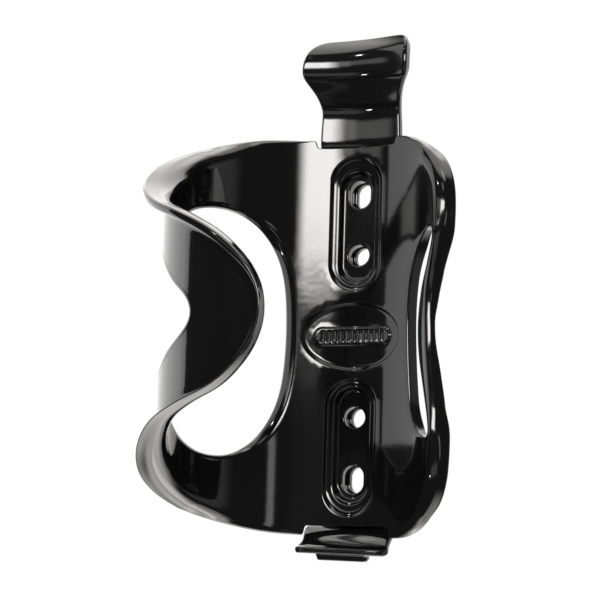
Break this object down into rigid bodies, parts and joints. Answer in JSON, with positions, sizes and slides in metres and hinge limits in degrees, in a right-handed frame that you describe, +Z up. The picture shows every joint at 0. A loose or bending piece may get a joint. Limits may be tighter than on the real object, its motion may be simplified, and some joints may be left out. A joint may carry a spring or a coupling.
{
  "type": "bicycle water bottle cage",
  "caption": "Side entry bottle cage: long flexing wing, short wing, rear strap with slotted and round bolt holes, lower shelf and springy retaining tab.",
  "frame": {"origin": "on the rear mounting face, midway between the bolt holes", "axes": "+Z up along the bottle; +Y out of the rear mounting face towards the bicycle; +X to the right seen from the front, the side the bottle goes in from"},
  "size_m": [0.0758, 0.0915, 0.1499],
  "materials": {
    "shell_plastic": "gloss black moulding, lightly scuffed on the bottle face",
    "strap_plastic": "gloss black moulding"
  },
  "bodies": {
    "cage": {"cage_body": "shell_plastic", "rear_spine": "strap_plastic"},
    "wing": {"long_wing": "shell_plastic"},
    "tab": {"retaining_tab": "strap_plastic"}
  },
  "joints": [
    {"name": "wing_flex", "type": "hinge", "parent": "cage", "child": "wing", "pos_m": [-0.01594, -0.01129, 0], "axis": [0, 0, -1], "range_deg": [0, 8], "stiffness_Nm_per_rad": 4},
    {"name": "tab_flex", "type": "hinge", "parent": "cage", "child": "tab", "pos_m": [0, -0.0015, 0.0518], "axis": [-1, 0, 0], "range_deg": [0, 9], "stiffness_Nm_per_rad": 2}
  ]
}
